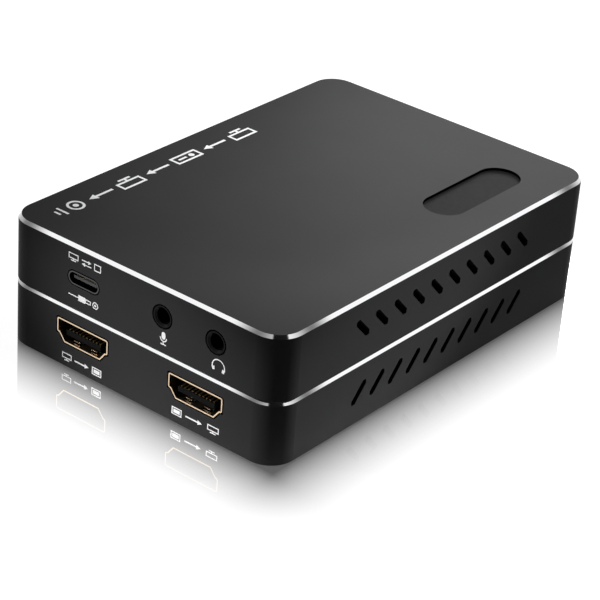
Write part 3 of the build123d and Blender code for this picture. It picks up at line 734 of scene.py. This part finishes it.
def mark_top(ink):
    """Video goes from a screen through the box to another screen, and on to a ring with a dot."""
    level = ROW_HEIGHT / 2
    step = ROW_WIDTH + ROW_GAP
    box_left = 2 * step
    box_right = box_left + 8.4
    box_margin = 0.4
    button_middle = box_left + 2.5
    button_radius = 0.75
    slot_left = box_left + 4.2
    slot_right = box_left + 6.8
    after_box = box_right + ROW_GAP
    ring_middle = after_box + 30.0
    dot_radius = 0.7
    stroke_width = 0.6
    strokes = ((3.8, 3.7), (5.3, 1.9))
    marks = Marks((ROW_INSET - HALF_WIDTH, ROW_START, TOP), (0, -1, 0), (1, 0, 0))
    marks.screen(0, ROW_WIDTH, ROW_HEIGHT, ROW_LINE)
    marks.frame(box_left, box_margin, box_right, ROW_HEIGHT - box_margin, ROW_LINE)
    marks.disc(button_middle, level, button_radius)
    marks.bar(slot_left, slot_right, level, ROW_LINE)
    marks.screen(after_box + step, ROW_WIDTH, ROW_HEIGHT, ROW_LINE)
    for left in (step, after_box, after_box + 2 * step):
        marks.arrow(left, left + ROW_WIDTH, level, *ROW_ARROW)
    marks.arc(level, level, ROW_LINE, 0, 360, ring_middle)
    marks.disc(ring_middle, level, dot_radius)
    for away, height in strokes:
        left = ring_middle + away
        marks.bar(left, left + stroke_width, level, height)
    marks.finish("top_mark", ink)


# Ink of the marks
INK_WHITE = (0.92, 0.92, 0.92)
INK_ROUGHNESS = 0.5
INK_GRAIN = 400
INK_SPREAD = 0.03


def add_marks():
    ink = grained("print_white", INK_WHITE, INK_ROUGHNESS, grain=INK_GRAIN, spread=INK_SPREAD)
    mark_microphone(ink)
    mark_headphones(ink)
    mark_video_in(ink)
    mark_video_out(ink)
    mark_data_port_above(ink)
    mark_data_port_below(ink)
    mark_top(ink)


# Floor: white, with a shadow round the box and a mirror image that fades away from its foot
FLOOR_HALF = 3.0
FLOOR_DROP = 0.05 * MM
FLOOR_GREY = (0.4, 0.4, 0.4, 1)
MIRROR_REACH = 19 * MM
MIRROR_SHARE = 0.89
MIRROR_FADE = 1.6
MIRROR_FACING = (0.15, 0.45)
MIRROR_ROUGHNESS = 0.03
GLOW_SHARE = 0.78
GLOW_STRENGTH = 1.2
SHADOW_REACH = 50 * MM
WHITE = (1, 1, 1, 1)
GLOSS_RAYS = ("Is Glossy Ray", "Is Transmission Ray")
SEEN_RAYS = ("Is Camera Ray", *GLOSS_RAYS)


def mirror_share(nodes, away):
    """How much of the floor is a mirror, at a distance from the box."""
    near = nodes.maths("SUBTRACT", 1.0, nodes.maths("DIVIDE", away, MIRROR_REACH))
    fade = nodes.maths("POWER", nodes.maths("MAXIMUM", near, 0.0), MIRROR_FADE)
    start, full = MIRROR_FACING
    facing = nodes.new("LayerWeight").outputs["Facing"]
    low_look = nodes.between(facing, 0.0, 1.0, start=start, full=full)
    return nodes.maths("MULTIPLY", fade, nodes.maths("MULTIPLY", low_look, MIRROR_SHARE))


def glow_share(nodes, away):
    """How much of the floor is plain white to the eye and in gloss; other rays see it matt."""
    beyond_shadow = nodes.maths("MINIMUM", nodes.maths("DIVIDE", away, SHADOW_REACH), 1.0)
    share = nodes.between(beyond_shadow, GLOW_SHARE, 1.0)
    return nodes.maths("MULTIPLY", nodes.rays(*SEEN_RAYS), share)


def floor_material():
    nodes = new_material("floor_white")
    past = past_sides(nodes, nodes.place(), 0.0)
    away = nodes.distance(*[nodes.maths("MAXIMUM", value, 0.0) for value in past])
    matt = nodes.shader("BsdfDiffuse", Color=FLOOR_GREY)
    glow = nodes.shader("Emission", Strength=GLOW_STRENGTH)
    mirror = nodes.shader("BsdfGlossy", Color=WHITE, Roughness=MIRROR_ROUGHNESS)
    lit = nodes.mix(glow_share(nodes, away), matt, glow)
    return nodes.finish(nodes.mix(mirror_share(nodes, away), lit, mirror))


def add_floor():
    mesh = bpy.data.meshes.new("floor")
    edge = FLOOR_HALF
    corners = [(-edge, -edge, 0), (edge, -edge, 0), (edge, edge, 0), (-edge, edge, 0)]
    mesh.from_pydata(corners, [], [(0, 1, 2, 3)])
    mesh.materials.append(floor_material())
    floor = bpy.data.objects.new("floor", mesh)
    floor.location.z = -FLOOR_DROP
    bpy.context.collection.objects.link(floor)


# Softboxes: place, aim, width and height in metres, then power in watts
BOX_MIDDLE = (0, 0, 0.015)
SOFTBOXES = {
    "left_front_softbox": ((-0.6, -0.3, 0.2), BOX_MIDDLE, 0.4, 0.3, 0.06),
    "right_back_softbox": ((0.32, 0.6, 0.2), BOX_MIDDLE, 0.4, 0.3, 0.03),
    "overhead_softbox": ((0.0, 0.0, 0.9), BOX_MIDDLE, 0.25, 0.25, 1.0),
    "back_softbox": ((-0.09, 0.27, 0.145), (0.02, 0.03, 0.03), 0.2, 0.12, 0.6),
}

# Round pools of light with a soft edge: place and aim in metres, full angle in degrees, then watts
SPOT_RADIUS = 4 * MM
SPOTS = {
    "top_spot": ((0.0, 0.0, 0.9), (0.026, 0.009, TOP), 12.6, 22.5),
    "port_face_spot": ((-0.42, -0.42, 0.17), (0.007, FRONT, 0.0125), 6.25, 17.6),
    "vent_face_spot": ((0.33, 0.55, 0.2), (HALF_WIDTH, -0.023, 0.0165), 5.0, 24.0),
}


def add_light(name, kind, place, target, power):
    """A lamp aimed at a target, hidden from the camera itself."""
    lamp = bpy.data.lights.new(name, kind)
    lamp.energy = power
    light = bpy.data.objects.new(name, lamp)
    light.location = place
    light.rotation_euler = (Vector(target) - Vector(place)).to_track_quat("-Z", "Y").to_euler()
    light.visible_camera = False
    bpy.context.collection.objects.link(light)
    return lamp


def add_softboxes():
    for name, (place, target, width, height, power) in SOFTBOXES.items():
        lamp = add_light(name, "AREA", place, target, power)
        lamp.shape = "RECTANGLE"
        lamp.size = width
        lamp.size_y = height


def add_spots():
    for name, (place, target, cone, power) in SPOTS.items():
        lamp = add_light(name, "SPOT", place, target, power)
        lamp.spot_size = math.radians(cone)
        lamp.spot_blend = 1.0
        lamp.shadow_soft_size = SPOT_RADIUS


# Studio: white all round for the eye, and for gloss also a dark strip high up at the front right
ROOM_LIGHT = 0.05
STRIP_ACROSS = (0.79, 0.61, 0.0)
STRIP_SIDES = (-0.17, 0.5)
STRIP_ALONG = (0.61, -0.79, 0.0)
STRIP_END = 0.22
STRIP_HEIGHT = 0.54
STRIP_SOFTNESS = 0.04
STRIP_TONE = 0.01


def soft_step(nodes, value, place):
    """0 below the place, 1 above it, with a soft change."""
    start = place - STRIP_SOFTNESS
    full = place + STRIP_SOFTNESS
    return nodes.between(value, 0.0, 1.0, start=start, full=full, shape="SMOOTHSTEP")


def dark_strip(nodes):
    """1 in the directions where the dark strip lies, 0 elsewhere."""
    toward = nodes.new("TexCoord").outputs["Generated"]
    aside = nodes.reach(toward, STRIP_ACROSS)
    past_low, past_high = (soft_step(nodes, aside, side) for side in STRIP_SIDES)
    above = soft_step(nodes, nodes.split(toward)["Z"], STRIP_HEIGHT)
    ahead = soft_step(nodes, nodes.reach(toward, STRIP_ALONG), STRIP_END)
    length = nodes.maths("MULTIPLY", above, ahead)
    return nodes.maths("MULTIPLY", length, nodes.maths("SUBTRACT", past_low, past_high))


def add_world():
    nodes = Nodes(bpy.data.worlds.new("studio"), "OutputWorld")
    dark = nodes.maths("MULTIPLY", nodes.rays(*GLOSS_RAYS), dark_strip(nodes))
    brightness = nodes.maths("SUBTRACT", 1.0, nodes.maths("MULTIPLY", dark, 1 - STRIP_TONE))
    walls = nodes.shader("Background", Color=WHITE, Strength=brightness)
    room = nodes.shader("Background", Color=WHITE, Strength=ROOM_LIGHT)
    bpy.context.scene.world = nodes.finish(nodes.mix(nodes.rays(*SEEN_RAYS), room, walls))


bpy.context.scene.view_settings.view_transform = "Standard"
add_camera()
make_materials()
add_marks()
add_floor()
add_softboxes()
add_spots()
add_world()
